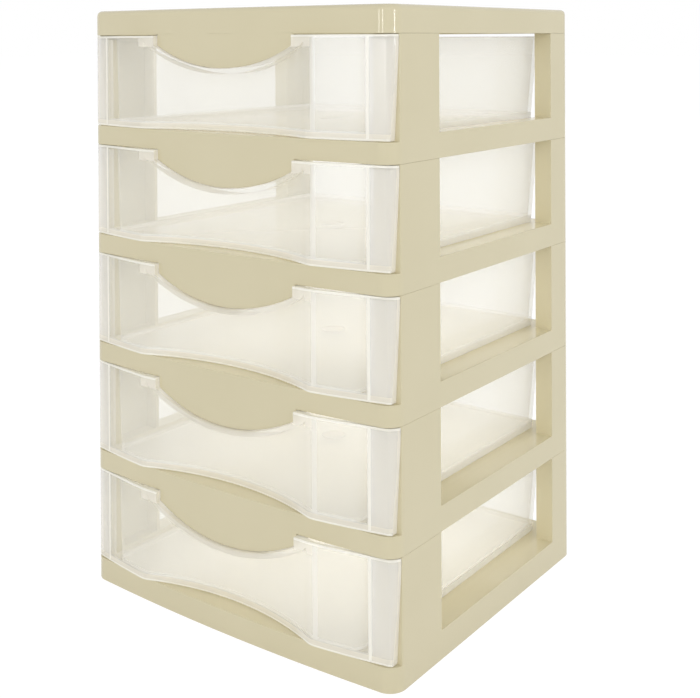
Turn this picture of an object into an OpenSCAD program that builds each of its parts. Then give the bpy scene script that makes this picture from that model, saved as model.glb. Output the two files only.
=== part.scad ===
// Drawer tower for small parts: a stack of moulded frames, a cover on top and one
// sliding drawer in each bay. +Z is up, the drawers open towards -Y, and the
// origin is the middle of the footprint on the surface that the tower stands on.

/* [Tower] */
// Width over the frames
width = 180; // [150:1:220]
// Depth from the drawers' foremost edge to the back
depth = 168; // [145:1:210]
// Number of drawers
tiers = 5; // [2:1:8]

/* [Frames] */
// Wall thickness of the frames and the cover
wall = 2; // [1.6:0.1:2.4]
// Height of a tier frame's front band
band_h = 9.1; // [8:0.1:14]
// Height of the base frame's front band
base_h = 10.6; // [8:0.1:20]
// Height of the top cover
cover_h = 12; // [9:0.1:20]
// Radius of the upright corners
corner_r = 8; // [6:0.5:10]
// How far the front bands bow forward in the middle
band_bow = 3; // [1:0.1:4]
// Radius that rounds the top edge of the cover
cover_edge_r = 2.5; // [1:0.1:4]

/* [Posts and windows] */
// Length of a front post along the side
front_post_l = 30; // [24:0.5:40]
// Length of a back post along the side
back_post_l = 22.5; // [18:0.5:30]
// Width of a front post across the front
front_post_w = 13.4; // [10:0.1:18]
// Width of a back post across the back
back_post_w = 10.5; // [9:0.1:16]
// Depth of the window sills and reveals
sill_depth = 9; // [6:0.5:9]
// Rise of the window sills above the floor
sill_rise = 2; // [1:0.1:4]
// Height of the tongues that locate the next frame
tongue_h = 3; // [2:0.5:4]

/* [Lobes] */
// Half width of the lobe that hangs from each band
lobe_half_w = 41; // [30:0.5:44]
// Drop of the lobe below the band
lobe_drop = 15; // [10:0.5:18]
// Radius of the lobe's lower edge
lobe_r = 87.4; // [80:0.1:110]

/* [Drawers] */
// Height of a drawer front
face_h = 43.6; // [36:0.1:70]
// Wall thickness of a drawer
drawer_t = 1.8; // [1.4:0.1:2.2]
// Floor thickness of a drawer
drawer_floor_t = 2; // [1.5:0.1:3]
// Depth of a drawer front at its ends
face_depth = 6; // [5:0.1:9]
// How far a drawer front's ends stand back from the frame's corners
face_set_back = 0.8; // [0:0.1:1]
// How far the pocket's creases stand ahead of the frame's corners
crease_proud = 4.5; // [3:0.1:6]
// Radius of a drawer front's ends in plan
face_end_r = 6.5; // [4:0.1:6.5]
// How much narrower a drawer front is at the bottom, on each side
face_draft = 2.4; // [1:0.1:4]
// Half width of the finger pocket
pocket_half_w = 50; // [46:0.5:54]
// Depth of the finger pocket behind its creases
pocket_depth = 9.8; // [7:0.1:12]
// Thickness of the grip strip over the pocket
strip_t = 2.4; // [1.8:0.1:3]
// How much lower the body's rim is than the front
rim_drop = 1.2; // [0.8:0.1:3]
// Narrowing of the body from its rim to its floor, on each side
body_draft = 2; // [0.5:0.1:3]
// Slope of the back wall from its rim to its floor
back_draft = 4; // [1:0.1:5]
// Radius of the body's upright corners
body_r = 4.5; // [4:0.5:10]

/* [Fits] */
// Running gap above, below and behind a drawer front
slide_gap = 0.3; // [0.2:0.05:0.6]
// Gap between a drawer body and the front posts, on each side
side_gap = 1.1; // [0.6:0.1:2]
// Space behind a closed drawer
back_gap = 5; // [4:0.5:20]
// Gap between a tongue and the frame above it
tongue_gap = 0.3; // [0.2:0.05:0.5]

/* [Hidden] */
$fn = 96;
bow_fn = 720;
arc_fn = 360;
edge_step = 15;
overlap = 0.5;
skin = 0.01;
far = 400;

back_y = depth / 2;
crease_y = -depth / 2;
front_y = crease_y + crease_proud;
post_front_y = front_y + face_depth;
window_front_y = post_front_y + front_post_l;
window_back_y = back_y - back_post_l;
bay_h = face_h + 2 * slide_gap;
pitch = band_h + bay_h;
base_top = base_h + bay_h;
cover_z = base_top + (tiers - 1) * pitch;

// Arcs of the lobe, of the notch round it and of the pocket's ceiling share one axis
lobe_axis_rise = lobe_r - lobe_drop;
notch_half_w = lobe_half_w + slide_gap;
notch_r = lobe_r + slide_gap;
ceiling_r = notch_r + strip_t;

// Plan of a drawer front: a wide bow through its ends and creases, and the pocket's arc
face_end_x = width / 2 - face_end_r;
face_end_y = front_y + face_set_back;
face_cy = (crease_y + face_end_y) / 2
    + (face_end_x ^ 2 - pocket_half_w ^ 2) / (2 * (face_end_y - crease_y));
face_r = norm([pocket_half_w, crease_y - face_cy]);
pocket_r = (pocket_half_w ^ 2 + pocket_depth ^ 2) / (2 * pocket_depth);
pocket_cy = crease_y + pocket_depth - pocket_r;
face_back_y = post_front_y - slide_gap;

body_h = face_h - rim_drop;
body_half_w = width / 2 - front_post_w - side_gap;
body_back_y = back_y - back_gap;

frame_colour = "#d3caab";
drawer_colour = [0.95, 0.93, 0.88, 0.55];

// Level of the floor on which drawer i stands, counted from the top
function floor_z(i) = base_h + (tiers - i) * pitch;

// Half width and back face of a drawer body at height z
function body_half_at(z) = body_half_w - body_draft * (1 - z / body_h);
function body_back_at(z) = body_back_y - back_draft * (1 - z / body_h);

module both_sides() {
    children();
    mirror([1, 0, 0]) children();
}

module rounded_rect(half_w, y0, y1, r) {
    translate([-half_w + r, y0]) square([2 * (half_w - r), y1 - y0]);
    translate([-half_w, y0 + r]) square([2 * half_w, y1 - y0 - 2 * r]);
    for (x = [-half_w + r, half_w - r], y = [y0 + r, y1 - r])
        translate([x, y]) circle(r);
}

// Outline of every frame: rounded corners and a bowed front, whose arc lies a hair
// back so that it crosses the straight front just inside the corners
module footprint(inset = 0) {
    half = width / 2 - corner_r;
    y = front_y + inset;
    bow_r = (half ^ 2 + band_bow ^ 2) / (2 * band_bow);
    rounded_rect(width / 2 - inset, y, back_y - inset, corner_r - inset);
    intersection() {
        translate([0, y - band_bow + bow_r + skin]) circle(bow_r, $fn = bow_fn);
        translate([-half, y - band_bow - overlap]) square([2 * half, band_bow + 2 * overlap]);
    }
}

module footprint_ring(outer, inner) {
    difference() {
        footprint(outer);
        footprint(inner);
    }
}

// Everything inside the arc of radius r that hangs under level z
module arc_drum(r, z) {
    translate([0, 0, z + lobe_axis_rise]) rotate([90, 0, 0])
        cylinder(r = r, h = far, center = true, $fn = arc_fn);
}

// Lobe that hangs from a band's lower edge over the drawer's pocket
module lobe() {
    intersection() {
        translate([0, 0, -lobe_drop]) linear_extrude(lobe_drop + overlap)
            footprint_ring(0, wall);
        translate([-lobe_half_w, crease_y, -lobe_drop])
            cube([2 * lobe_half_w, back_y, lobe_drop + overlap]);
        arc_drum(lobe_r, 0);
    }
}

// Plan of the right-hand rail under a window
module rail_plan(inset) {
    intersection() {
        footprint(inset);
        translate([width / 2 - sill_depth + inset, post_front_y + inset])
            square([sill_depth, back_y - post_front_y]);
    }
}

// Floor plate with its skirt and the raised rails under the windows, open below
module tray(floor_h) {
    difference() {
        union() {
            linear_extrude(floor_h) footprint();
            both_sides() linear_extrude(floor_h + sill_rise) rail_plan(0);
        }
        translate([0, 0, -overlap]) {
            linear_extrude(floor_h - wall + overlap) footprint(wall);
            both_sides() linear_extrude(floor_h + sill_rise - wall + overlap) rail_plan(wall);
        }
    }
}

// Plans of the right-hand front and back posts' ground
module front_post_zone() {
    translate([width / 2 - front_post_w, post_front_y]) square([front_post_w, front_post_l]);
}

module back_post_zone() {
    translate([width / 2 - back_post_w, window_back_y]) square([back_post_w, back_post_l]);
}

// Channel-shaped posts, open towards the bay
module post_plan() {
    intersection() {
        footprint_ring(0, wall);
        union() {
            front_post_zone();
            back_post_zone();
        }
    }
    translate([width / 2 - front_post_w, post_front_y])
        square([front_post_w - wall / 2, wall]);
    for (y = [window_front_y - wall, window_back_y])
        translate([width / 2 - sill_depth, y]) square([sill_depth - wall / 2, wall]);
}

// Tongues on the post tops that sit inside the skirt above
module tongue_plan(gap) {
    intersection() {
        footprint_ring(wall + gap, 2 * wall + tongue_gap);
        union() {
            front_post_zone();
            back_post_zone();
        }
    }
}

module posts(floor_h) {
    top = floor_h + bay_h;
    both_sides() {
        translate([0, 0, floor_h - wall / 2]) linear_extrude(bay_h + wall / 2) post_plan();
        translate([0, 0, top - tongue_h]) linear_extrude(tongue_h) tongue_plan(0);
        translate([0, 0, top - overlap]) linear_extrude(tongue_h + overlap)
            tongue_plan(tongue_gap);
    }
}

module base_frame() {
    color(frame_colour) {
        tray(base_h);
        posts(base_h);
    }
}

module tier_frame(i) {
    color(frame_colour) translate([0, 0, floor_z(i) - band_h]) {
        tray(band_h);
        posts(band_h);
        lobe();
    }
}

module top_cover() {
    color(frame_colour) translate([0, 0, cover_z]) {
        difference() {
            hull() {
                linear_extrude(cover_h - cover_edge_r) footprint();
                for (a = [edge_step : edge_step : 90])
                    translate([0, 0, cover_h - cover_edge_r * (1 - sin(a)) - skin])
                        linear_extrude(skin) footprint(cover_edge_r * (1 - cos(a)));
            }
            translate([0, 0, -overlap]) linear_extrude(cover_h - wall + overlap)
                footprint(wall);
        }
        lobe();
    }
}

// Ground behind the drawer's bowed front and outside its pocket
module behind_face(inset) {
    difference() {
        translate([0, face_cy]) circle(face_r - inset, $fn = bow_fn);
        translate([0, pocket_cy]) circle(pocket_r + inset, $fn = arc_fn);
    }
}

// Plan of the drawer front's full width, before the pocket is taken out; an inset one
// runs out through the back
module face_plan(inset) {
    intersection() {
        translate([-width / 2, crease_y]) square([width, face_back_y + inset - crease_y]);
        union() {
            translate([-face_end_x, crease_y]) square([2 * face_end_x, depth]);
            translate([-width / 2 + inset, face_end_y + face_end_r])
                square([width - 2 * inset, depth]);
            both_sides() translate([face_end_x, face_end_y + face_end_r])
                circle(face_end_r - inset);
        }
    }
}

// Upright slab that narrows towards its lower edge
module face_block(inset, h) {
    half = width / 2 - inset;
    intersection() {
        linear_extrude(h) face_plan(inset);
        translate([0, back_y, 0]) rotate([90, 0, 0]) linear_extrude(depth) polygon([
            [-half + face_draft, 0], [half - face_draft, 0],
            [half, face_h], [-half, face_h]
        ]);
    }
}

// Tapered tub with round corners; its front runs on into the drawer front
module tub(inset, z0, z1) {
    hull() for (z = [z0, z1 - skin])
        translate([0, 0, z]) linear_extrude(skin)
            rounded_rect(body_half_at(z) - inset, crease_y - body_r,
                body_back_at(z) - inset, body_r - inset, $fn = 32);
}

module drawer(i) {
    seam = face_h + slide_gap;
    color(drawer_colour) translate([0, 0, floor_z(i) + slide_gap]) {
        difference() {
            intersection() {
                union() {
                    face_block(0, face_h);
                    tub(0, 0, body_h);
                }
                linear_extrude(face_h) behind_face(0);
            }
            intersection() {
                tub(drawer_t, drawer_floor_t, face_h + overlap);
                linear_extrude(face_h + overlap) behind_face(drawer_t);
            }
            both_sides() intersection() {
                translate([0, 0, -overlap]) face_block(drawer_t, face_h - drawer_t + overlap);
                translate([body_half_w, crease_y, -overlap])
                    cube([width / 2, depth, face_h]);
                linear_extrude(face_h) behind_face(drawer_t);
            }
            notch(seam);
        }
        grip_strip(seam);
    }
}

// Clearance for the lobe, cut through the top of the drawer front
module notch(seam) {
    intersection() {
        translate([-notch_half_w, crease_y - overlap, 0])
            cube([2 * notch_half_w, depth / 3, face_h + overlap]);
        arc_drum(notch_r, seam);
    }
}

// Ceiling of the pocket, whose front edge is the strip that the fingers pull
module grip_strip(seam) {
    difference() {
        intersection() {
            linear_extrude(face_h) intersection() {
                translate([-pocket_half_w, crease_y])
                    square([2 * pocket_half_w, pocket_depth + drawer_t]);
                translate([0, pocket_cy]) circle(pocket_r + drawer_t / 2, $fn = arc_fn);
            }
            arc_drum(ceiling_r, seam);
        }
        notch(seam);
    }
}

top_cover();
base_frame();
for (i = [1 : tiers - 1])
    tier_frame(i);
for (i = [1 : tiers])
    drawer(i);
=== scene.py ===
import math

import bpy
from mathutils import Matrix, Vector


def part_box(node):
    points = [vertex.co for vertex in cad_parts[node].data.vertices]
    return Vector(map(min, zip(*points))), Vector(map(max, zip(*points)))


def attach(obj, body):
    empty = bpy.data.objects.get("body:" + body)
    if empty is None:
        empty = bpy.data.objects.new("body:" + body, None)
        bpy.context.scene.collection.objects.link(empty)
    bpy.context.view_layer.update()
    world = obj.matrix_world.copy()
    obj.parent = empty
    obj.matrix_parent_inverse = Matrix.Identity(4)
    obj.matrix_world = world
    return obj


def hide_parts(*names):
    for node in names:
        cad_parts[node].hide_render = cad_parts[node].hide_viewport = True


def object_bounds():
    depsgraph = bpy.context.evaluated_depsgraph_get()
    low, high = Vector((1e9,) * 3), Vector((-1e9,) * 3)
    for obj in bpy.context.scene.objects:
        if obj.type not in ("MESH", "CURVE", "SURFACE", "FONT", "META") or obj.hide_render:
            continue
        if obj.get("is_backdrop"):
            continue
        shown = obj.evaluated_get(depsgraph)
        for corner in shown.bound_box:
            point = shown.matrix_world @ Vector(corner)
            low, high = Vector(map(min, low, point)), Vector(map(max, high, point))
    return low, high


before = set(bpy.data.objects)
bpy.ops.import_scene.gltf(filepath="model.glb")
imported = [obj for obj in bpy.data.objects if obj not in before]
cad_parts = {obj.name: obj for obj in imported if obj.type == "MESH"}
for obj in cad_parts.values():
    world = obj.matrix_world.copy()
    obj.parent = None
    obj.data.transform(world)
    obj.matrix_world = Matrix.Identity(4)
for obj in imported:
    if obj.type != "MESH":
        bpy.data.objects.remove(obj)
cad_low, cad_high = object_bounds()

# ---- Frames and cover ------------------------------------------------------------
# Six hollow mouldings in ivory polypropylene, stacked and clicked together: the base
# frame, four tier frames and the cover. The mould leaves a hair of a radius on every
# edge, so that a fine groove shows where one frame stands on the next.
MM = 0.001
FRAME_NODES = ["base_frame", "tier_frame_4", "tier_frame_3", "tier_frame_2",
               "tier_frame_1", "top_cover"]
FRAME_EDGE = 0.2 * MM
MERGE_WITHIN = 0.002 * MM          # corners of loose triangles that are one point
FLAT_WITHIN = math.radians(0.5)    # neighbouring triangles that are one face
ROUND_FROM = math.radians(35)      # edges that the mould leaves a radius on
SMOOTH_UNDER = math.radians(30)    # edges that are shaded as one surface


def linear(colour):
    """An sRGB hex colour as the linear RGBA that a shader socket takes."""
    parts = [int(colour[i:i + 2], 16) / 255 for i in (1, 3, 5)]
    return [p / 12.92 if p <= 0.04045 else ((p + 0.055) / 1.055) ** 2.4
            for p in parts] + [1.0]


def add_node(tree, kind, settings=None, **links):
    """A new node; settings are its properties, links its inputs as values or sockets.

    An input goes by its name, with _ for a space, or by _ and its number.
    """
    node = tree.nodes.new(kind)
    for name, value in (settings or {}).items():
        setattr(node, name, value)
    for name, value in links.items():
        key = int(name[1:]) if name[0] == "_" else name.replace("_", " ")
        if isinstance(value, bpy.types.NodeSocket):
            tree.links.new(value, node.inputs[key])
        else:
            node.inputs[key].default_value = value
    return node


def new_material(name):
    """An empty material and its node tree."""
    material = bpy.data.materials.new(name)
    material.use_nodes = True
    material.node_tree.nodes.clear()
    return material, material.node_tree


def merged_copy(node, name):
    """A copy of a CAD node with its loose triangles merged into whole faces."""
    piece = bpy.data.objects.new(name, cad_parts[node].data.copy())
    bpy.context.scene.collection.objects.link(piece)
    piece.data.materials.clear()
    bpy.ops.object.select_all(action="DESELECT")
    piece.select_set(True)
    bpy.context.view_layer.objects.active = piece
    bpy.ops.object.mode_set(mode="EDIT")
    bpy.ops.mesh.select_all(action="SELECT")
    bpy.ops.mesh.remove_doubles(threshold=MERGE_WITHIN)
    bpy.ops.mesh.dissolve_limited(angle_limit=FLAT_WITHIN)
    bpy.ops.object.mode_set(mode="OBJECT")
    return piece


def round_edges(piece, radius):
    """Gives every sharp edge the mould's small radius and smooths the shading."""
    bevel = piece.modifiers.new("mould_radius", "BEVEL")
    bevel.width, bevel.segments = radius, 2
    bevel.limit_method, bevel.angle_limit = "ANGLE", ROUND_FROM
    bevel.use_clamp_overlap = False
    bevel.miter_outer = "MITER_ARC"
    bpy.ops.object.modifier_apply(modifier="mould_radius")
    bpy.ops.object.shade_smooth_by_angle(angle=SMOOTH_UNDER)
    weigh = piece.modifiers.new("flat_faces", "WEIGHTED_NORMAL")
    weigh.keep_sharp = True
    bpy.ops.object.modifier_apply(modifier="flat_faces")


# Ivory polypropylene, injection moulded in a finely spark-eroded mould: an even satin
# sheen, and broad, hardly visible clouds from the flow. Its real grain, a few
# hundredths of a millimetre, is too fine to show and is drawn at 0.7 mm.
FRAME_CLOUD = 45.45 * MM
FRAME_GRAIN = 0.7143 * MM
ivory, tree = new_material("ivory_moulded_polypropylene")
place = add_node(tree, "ShaderNodeTexCoord").outputs["Object"]
clouds = add_node(tree, "ShaderNodeTexNoise", Vector=place,
                  Scale=1 / FRAME_CLOUD, Detail=2.0)
tint = add_node(tree, "ShaderNodeMix", {"data_type": "RGBA"},
                _0=clouds.outputs["Fac"], _6=linear("#d0c7a6"), _7=linear("#d6cdae"))
grain = add_node(tree, "ShaderNodeTexNoise", Vector=place,
                 Scale=1 / FRAME_GRAIN, Detail=2.0)
bump = add_node(tree, "ShaderNodeBump", Height=grain.outputs["Fac"],
                Strength=0.08, Distance=0.05 * MM)
sheen = add_node(tree, "ShaderNodeMapRange", Value=clouds.outputs["Fac"],
                 To_Min=0.1, To_Max=0.15)
shader = add_node(tree, "ShaderNodeBsdfPrincipled", Base_Color=tint.outputs[2],
                  Roughness=sheen.outputs[0], IOR=1.49, Normal=bump.outputs[0])
add_node(tree, "ShaderNodeOutputMaterial", Surface=shader.outputs[0])

for node in FRAME_NODES:
    piece = merged_copy(node, node + "_moulding")
    round_edges(piece, FRAME_EDGE)
    piece.data.materials.append(ivory)
    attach(piece, "tower")
    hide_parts(node)

# ---- Drawers ---------------------------------------------------------------------
# Five trays in natural polypropylene from a polished mould: milky, see-through and
# glossy, with the finger pocket and its grip strip moulded in the front. The lowest
# one is shaped here, and the others are copies of it, a bay higher each.
DRAWERS = (1, 2, 3, 4, 5)
LOWEST = 5
DRAWER_EDGE = 0.3 * MM

# Some of these places carry painted highlights: the rim and the light lines below.
# Where the finish changes, in mm: heights above a drawer's underside,
LOWER_HIGHLIGHT_TOP = 0.9         # light line along the front's lower edge
FLOOR_TOP = 2.0
BAND_TOP = 2.9         # front's band that has the floor behind it
FILLET_TOP = 3.5       # walls are thick at their foot
POCKET_LOW = 10.0      # pocket's faces are all above this
WEB_LOW = 38.5         # small webs at the two ends of the grip strip
RIM_LOW = 42.6         # rim, whose top is at 43.6
# distances from the middle, to either side,
WEB_X = 40.0
CREASE_X = (51.4, 53.8)            # light line beside the pocket's right crease
FLANGE_X = 76.0                    # where the front passes the tray's wall
JOINT_HIGHLIGHT_X = (77.4, 78.7)             # light line over the joint of front and tray
# and places along the depth, each with all that lies before it.
FRONT_Y = -70.0
FLANGE_Y = -73.0
FRONT_END_Y = -79.0                # outer face of the front, at its ends
FRONT_FACE_Y = -81.0               # and beside the pocket

# The least part of a face's normal that points some way for the face to do so.
LEANS, FACES, SQUARE = 0.2, 0.3, 0.88

DRAWER_CLOUD = 55.56 * MM
DRAWER_RIPPLE = 11.11 * MM


def milky_plastic(name, cover, dull, bright):
    """Milky, glossy and see-through; cover is the share that one surface hides.

    A polished mould leaves it smooth but for a slow ripple where it shrank. The raised
    specular makes up for the gloss that a low cover takes away.
    """
    material, tree = new_material(name)
    place = add_node(tree, "ShaderNodeTexCoord").outputs["Object"]
    clouds = add_node(tree, "ShaderNodeTexNoise", Vector=place,
                      Scale=1 / DRAWER_CLOUD, Detail=2.0)
    tint = add_node(tree, "ShaderNodeMix", {"data_type": "RGBA"},
                    _0=clouds.outputs["Fac"], _6=linear(dull), _7=linear(bright))
    ripple = add_node(tree, "ShaderNodeTexNoise", Vector=place,
                      Scale=1 / DRAWER_RIPPLE, Detail=1.0)
    bump = add_node(tree, "ShaderNodeBump", Height=ripple.outputs["Fac"],
                    Strength=0.05, Distance=0.1 * MM)
    shader = add_node(tree, "ShaderNodeBsdfPrincipled", Base_Color=tint.outputs[2],
                      Roughness=0.16, IOR=1.49, Specular_IOR_Level=0.7, Alpha=cover,
                      Normal=bump.outputs[0])
    add_node(tree, "ShaderNodeOutputMaterial", Surface=shader.outputs[0])
    return material


# A wall lets most of what is behind it through. The floor and the front's flanges are
# denser, and a painted highlight beside the right crease is drawn in that denser
# plastic. The strip, its webs, the front's band and the flanges' ends are creamy. The
# rim and the light lines along the front's lower edge and over the joint of front and
# tray are painted highlights in nearly white plastic.
WALL, THICK, STRIP, EDGE, GATE = 0, 1, 2, 3, 4
plastics = [milky_plastic("natural_polypropylene_wall", 0.26, "#eeece4", "#f2f1ea"),
            milky_plastic("natural_polypropylene_thick", 0.46, "#f0eeea", "#f5f4f1"),
            milky_plastic("natural_polypropylene_strip", 0.65, "#efe9db", "#f4f0e4"),
            milky_plastic("natural_polypropylene_painted_highlight", 0.8, "#f7f4e8", "#fbf9f0"),
            milky_plastic("natural_polypropylene_gate", 0.4, "#d6cfc2", "#dcd6ca")]


def deselect_mesh(piece):
    """Deselects all of a piece's mesh, in object mode."""
    for part in (piece.data.vertices, piece.data.edges, piece.data.polygons):
        part.foreach_set("select", [False] * len(part))


def bevel_upright(piece, places, radius, segments):
    """Rounds the upright edges that stand near these places in plan, all in mm."""
    least_height, near_x, near_y = 2, 1.3, 0.5
    deselect_mesh(piece)
    for edge in piece.data.edges:
        ends = [piece.data.vertices[v].co / MM for v in edge.vertices]
        middle = (ends[0] + ends[1]) / 2
        edge.select = abs(ends[0].z - ends[1].z) > least_height and any(
            abs(abs(middle.x) - x) < near_x and abs(middle.y - y) < near_y
            for x, y in places)
    bpy.ops.object.mode_set(mode="EDIT")
    bpy.ops.mesh.select_mode(type="EDGE")
    bpy.ops.mesh.bevel(offset=radius * MM, segments=segments, affect="EDGES")
    bpy.ops.object.mode_set(mode="OBJECT")


def cut(place, normal):
    """Cuts the active piece's faces along a plane, so that each side can differ."""
    bpy.ops.object.mode_set(mode="EDIT")
    bpy.ops.mesh.select_all(action="SELECT")
    bpy.ops.mesh.bisect(plane_co=place, plane_no=normal)
    bpy.ops.object.mode_set(mode="OBJECT")


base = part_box(f"drawer_{LOWEST}")[0].z
drawer = merged_copy(f"drawer_{LOWEST}", f"drawer_{LOWEST}_moulding")
bevel_upright(drawer, [(72.8, -78.9)], 3.0, 5)       # inside corners of the tray
bevel_upright(drawer, [(75.5, -78.4)], 2.0, 5)       # tray wall to front, outside
bevel_upright(drawer, [(50.0, -84.0), (50.3, -82.2)], 2.0, 6)      # pocket's creases
for z in (LOWER_HIGHLIGHT_TOP, BAND_TOP, FILLET_TOP, WEB_LOW, RIM_LOW):
    cut((0, 0, base + z * MM), (0, 0, 1))
for x in (*CREASE_X, *JOINT_HIGHLIGHT_X):
    cut((x * MM, 0, 0), (1, 0, 0))
    cut((-x * MM, 0, 0), (1, 0, 0))
round_edges(drawer, DRAWER_EDGE)

# Where the plastic was let into the mould: a round, sunk spot with a ring round it, on
# the tray's floor. In mm, as the places above.
GATE_PLACE = Vector((0, -1))
GATE_RADIUS = 6.0
GATE_RING = 1.2
GATE_SUNK = 0.2
GATE_THICK = 0.5       # half of it is in the floor
deselect_mesh(drawer)
bpy.ops.object.select_all(action="DESELECT")
bpy.ops.mesh.primitive_cylinder_add(
    vertices=48, radius=GATE_RADIUS * MM, depth=GATE_THICK * MM,
    location=(GATE_PLACE.x * MM, GATE_PLACE.y * MM, base + FLOOR_TOP * MM))
gate = bpy.context.object
bpy.ops.object.mode_set(mode="EDIT")
bpy.ops.mesh.select_mode(type="FACE")
bpy.ops.mesh.select_all(action="DESELECT")
bpy.ops.object.mode_set(mode="OBJECT")
for face in gate.data.polygons:
    face.select = face.normal.z > SQUARE
bpy.ops.object.mode_set(mode="EDIT")
bpy.ops.mesh.inset(thickness=GATE_RING * MM)
bpy.ops.transform.translate(value=(0, 0, -GATE_SUNK * MM))
bpy.ops.object.mode_set(mode="OBJECT")
drawer.select_set(True)
bpy.context.view_layer.objects.active = drawer
bpy.ops.object.join()


def finish_of(face):
    """The plastic that a face of the drawer shows, by its place and where it faces."""
    x, y, z = face.center / MM
    z -= base / MM
    right, x = x > 0, abs(x)
    sideways, ahead, up = abs(face.normal.x), -face.normal.y, face.normal.z
    front = y < FRONT_Y and ahead > FACES
    flange = y < FLANGE_Y and x > FLANGE_X
    pocket = y < FRONT_Y and x < CREASE_X[0]

    # Painted highlights: the rim and the light lines along the lower edge and over the
    # joint.
    rim = z > RIM_LOW and (up > LEANS or ahead > FACES)
    lower_highlight = front and z < LOWER_HIGHLIGHT_TOP
    joint_highlight = front and y < FRONT_END_Y and JOINT_HIGHLIGHT_X[0] < x < JOINT_HIGHLIGHT_X[1]
    if rim or lower_highlight or joint_highlight:
        return EDGE

    off_gate = (Vector((x, y)) - GATE_PLACE).length
    if off_gate < GATE_RADIUS + 0.1 and z > FLOOR_TOP:
        return GATE

    band = front and z < BAND_TOP
    flange_end = flange and sideways > SQUARE
    strip = pocket and z > POCKET_LOW and abs(ahead) < FACES
    web = pocket and z > WEB_LOW and x > WEB_X and ahead > 0
    if band or flange_end or strip or web:
        return STRIP

    # A painted highlight beside the right crease only, drawn in the dense plastic.
    crease_highlight = (right and front and y < FRONT_FACE_Y
                   and CREASE_X[0] < x < CREASE_X[1])
    if z < FILLET_TOP or flange or crease_highlight:
        return THICK
    return WALL


for plastic in plastics:
    drawer.data.materials.append(plastic)
for face in drawer.data.polygons:
    face.material_index = finish_of(face)

for i in DRAWERS:
    piece = drawer
    if i != LOWEST:
        piece = bpy.data.objects.new(f"drawer_{i}_moulding", drawer.data.copy())
        bpy.context.scene.collection.objects.link(piece)
        piece.data.transform(Matrix.Translation(
            (0, 0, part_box(f"drawer_{i}")[0].z - base)))
    piece.visible_shadow = False      # milky plastic hardly holds light back
    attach(piece, f"drawer_{i}")
    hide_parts(f"drawer_{i}")

# ---- Floor -----------------------------------------------------------------------
# A white table top that runs out into a white room. Most of what shows of it is plain
# white, and the rest takes the light, so that the tower keeps a faint shadow.
FLOOR_WIDE = 30
FLOOR_GLOW = 1.1
FLOOR_GLOW_SHARE = 0.85


def where_seen(tree):
    """1 for what is seen, straight, in gloss or through glass, and 0 for its light."""
    rays = add_node(tree, "ShaderNodeLightPath")
    seen = add_node(tree, "ShaderNodeMath", {"operation": "MAXIMUM"},
                    _0=rays.outputs["Is Camera Ray"], _1=rays.outputs["Is Glossy Ray"])
    seen = add_node(tree, "ShaderNodeMath", {"operation": "MAXIMUM"},
                    _0=seen.outputs[0], _1=rays.outputs["Is Transmission Ray"])
    return seen.outputs[0]


bpy.ops.object.select_all(action="DESELECT")
bpy.ops.mesh.primitive_plane_add(size=FLOOR_WIDE)
floor = bpy.context.object
floor.name = "table_top"
board, tree = new_material("white_table_top")
share = add_node(tree, "ShaderNodeMath", {"operation": "MULTIPLY"},
                 _0=where_seen(tree), _1=FLOOR_GLOW_SHARE)
diffuse = add_node(tree, "ShaderNodeBsdfDiffuse", Color=linear("#f4f4f4"))
glow = add_node(tree, "ShaderNodeEmission", Strength=FLOOR_GLOW)
mix = add_node(tree, "ShaderNodeMixShader", _0=share.outputs[0],
               _1=diffuse.outputs[0], _2=glow.outputs[0])
add_node(tree, "ShaderNodeOutputMaterial", Surface=mix.outputs[0])
floor.data.materials.append(board)
floor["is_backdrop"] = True

# ---- Room and lamps --------------------------------------------------------------
# A white room, seen as plain white, that lights the tower weakly from all sides, with
# four soft lamps round it and three narrow ones.
ROOM_LIGHT = 0.515
ROOM_SEEN = 1.0
world = bpy.data.worlds.new("white_room")
bpy.context.scene.world = world
world.use_nodes = True
tree = world.node_tree
tree.nodes.clear()
light = add_node(tree, "ShaderNodeBackground", Color=(1, 1, 1, 1), Strength=ROOM_LIGHT)
wall = add_node(tree, "ShaderNodeBackground", Color=(1, 1, 1, 1), Strength=ROOM_SEEN)
mix = add_node(tree, "ShaderNodeMixShader", _0=where_seen(tree),
               _1=light.outputs[0], _2=wall.outputs[0])
add_node(tree, "ShaderNodeOutputWorld", Surface=mix.outputs[0])

# Azimuth and elevation as seen from the tower, 0 straight in front and 90 at its
# right; the size of the lamp's face in m; and about what it adds to a white surface
# that faces it. Only the strips show in the gloss, as fine upright glints at a corner.
LAMPS = {
    "front_softbox": (50, 20, 2.4, 2.4, 0.29),
    "left_softbox": (-40, 20, 2.4, 2.4, 0.19),
    "right_softbox": (130, 20, 2.4, 2.4, 0.155),
    "back_softbox": (215, 20, 2.4, 2.4, 0.17),
    "left_strip": (-8, 4, 0.12, 0.5, 0.03),
    "front_strip": (14, 4, 0.12, 0.5, 0.045),
    "right_strip": (82, 4, 0.12, 0.5, 0.07),
}
LAMP_DISTANCE = 3.0
MIDDLE = (cad_low + cad_high) / 2


def add_lamp(name, place, wide, tall, watts):
    """A lamp with an oblong face, which shines down its own Z."""
    lamp = bpy.data.lights.new(name, "AREA")
    lamp.shape, lamp.size, lamp.size_y, lamp.energy = "RECTANGLE", wide, tall, watts
    holder = bpy.data.objects.new(name, lamp)
    bpy.context.scene.collection.objects.link(holder)
    holder.matrix_world = place
    return holder


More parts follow.
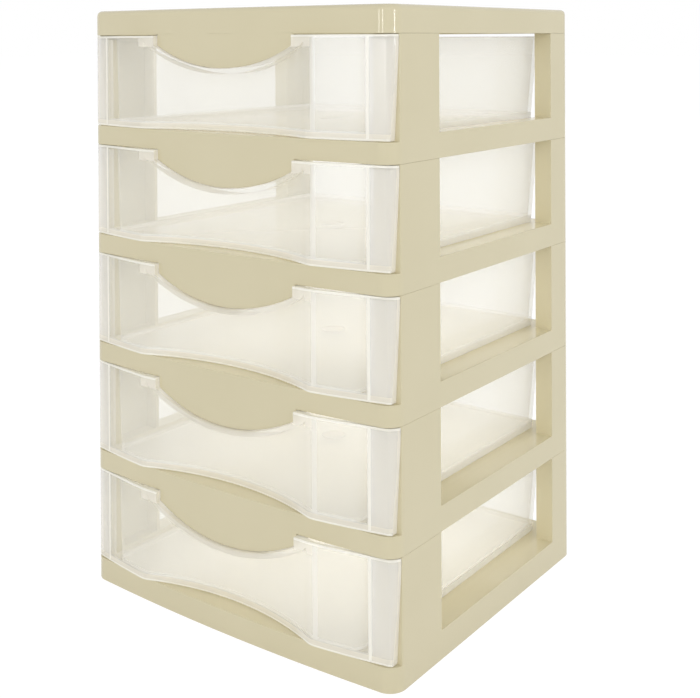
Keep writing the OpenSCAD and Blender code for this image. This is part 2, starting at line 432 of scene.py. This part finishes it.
for name, (azimuth, elevation, wide, tall, added) in LAMPS.items():
    turn = (Matrix.Rotation(math.radians(azimuth), 4, "Z")
            @ Matrix.Rotation(math.radians(90 - elevation), 4, "X"))
    lamp = add_lamp(name, Matrix.Translation(MIDDLE) @ turn
                    @ Matrix.Translation((0, 0, LAMP_DISTANCE)), wide, tall,
                    added * math.pi ** 2 * LAMP_DISTANCE ** 2)
    lamp.visible_camera = False
    lamp.visible_glossy = name.endswith("strip")

# The light that the milky plastic itself spreads in each bay comes from a weak panel
# just over its drawer, which no camera, gloss or glass shows.
BAY_LIGHT = {1: 0.907, 2: 1.2, 3: 1.307, 4: 1.307, 5: 1.387}       # brightness
PANEL_WIDE, PANEL_DEEP = 150 * MM, 140 * MM
PANEL_BACK, PANEL_UP = 5 * MM, 2 * MM
for i in DRAWERS:
    low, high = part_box(f"drawer_{i}")
    panel = add_lamp(f"bay_light_{i}",
                     Matrix.Translation((0, PANEL_BACK, high.z + PANEL_UP)),
                     PANEL_WIDE, PANEL_DEEP,
                     BAY_LIGHT[i] * math.pi * PANEL_WIDE * PANEL_DEEP)
    panel.visible_camera = panel.visible_glossy = panel.visible_transmission = False

# ---- Camera ----------------------------------------------------------------------
# It stands before the tower's right front corner, level with the cover, and its shift
# brings the tower into view without a tilt, so that uprights stay upright.
CAMERA_PLACE = Vector((347.317, -456.893, 265.709)) * MM
CAMERA_TURN = math.radians(36.384)
CAMERA_TILT = math.radians(89.5)       # 90 looks level
CAMERA_ROLL = math.radians(-0.3)
camera = bpy.data.objects.new("camera", bpy.data.cameras.new("camera"))
bpy.context.scene.collection.objects.link(camera)
camera.matrix_world = (Matrix.Translation(CAMERA_PLACE)
                       @ Matrix.Rotation(CAMERA_TURN, 4, "Z")
                       @ Matrix.Rotation(CAMERA_TILT, 4, "X")
                       @ Matrix.Rotation(CAMERA_ROLL, 4, "Z"))
camera.data.sensor_width = 36
camera.data.lens = 58.61
camera.data.shift_y = -0.4287
camera.data.clip_start = 0.05
bpy.context.scene.camera = camera
bpy.context.scene.view_settings.view_transform = "Standard"

low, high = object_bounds()
